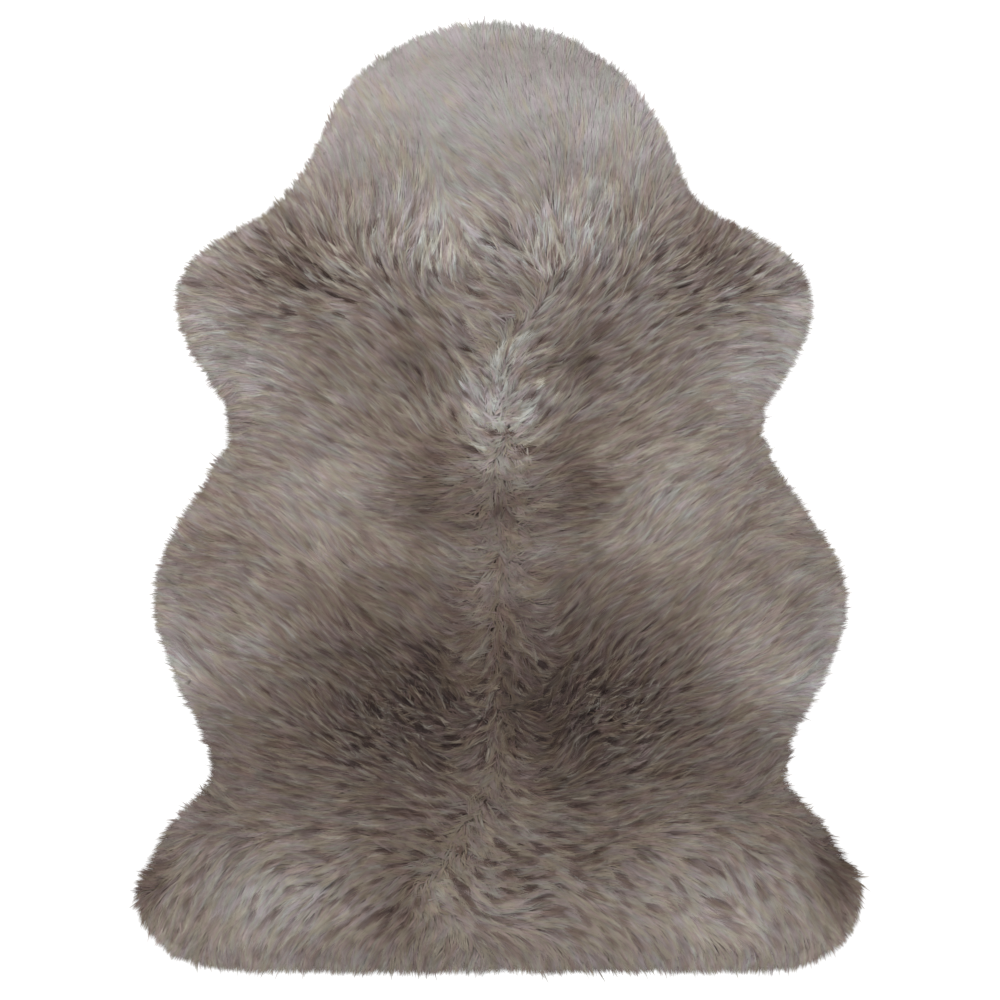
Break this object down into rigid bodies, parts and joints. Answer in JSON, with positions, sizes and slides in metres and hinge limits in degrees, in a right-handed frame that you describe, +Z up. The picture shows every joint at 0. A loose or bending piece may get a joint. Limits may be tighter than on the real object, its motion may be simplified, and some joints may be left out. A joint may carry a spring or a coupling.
{
  "type": "sheepskin rug",
  "caption": "Flat single sheepskin rug with long combed wool, a rounded neck end, wide arms and flanks, and a nearly straight tail edge between two flared feet",
  "frame": {"origin": "Middle of the underside, on the floor", "axes": "+Z up out of the wool, +Y along the pelt from tail to neck, +X across it to the right as seen from above"},
  "size_m": [0.73, 0.954, 0.0514],
  "materials": {
    "wool": "long combed wool, taupe with paler tips and darker roots",
    "hide": "tanned suede side of the pelt, dull and cream"
  },
  "bodies": {
    "root": {"sheepskin": "wool"}
  },
  "joints": []
}
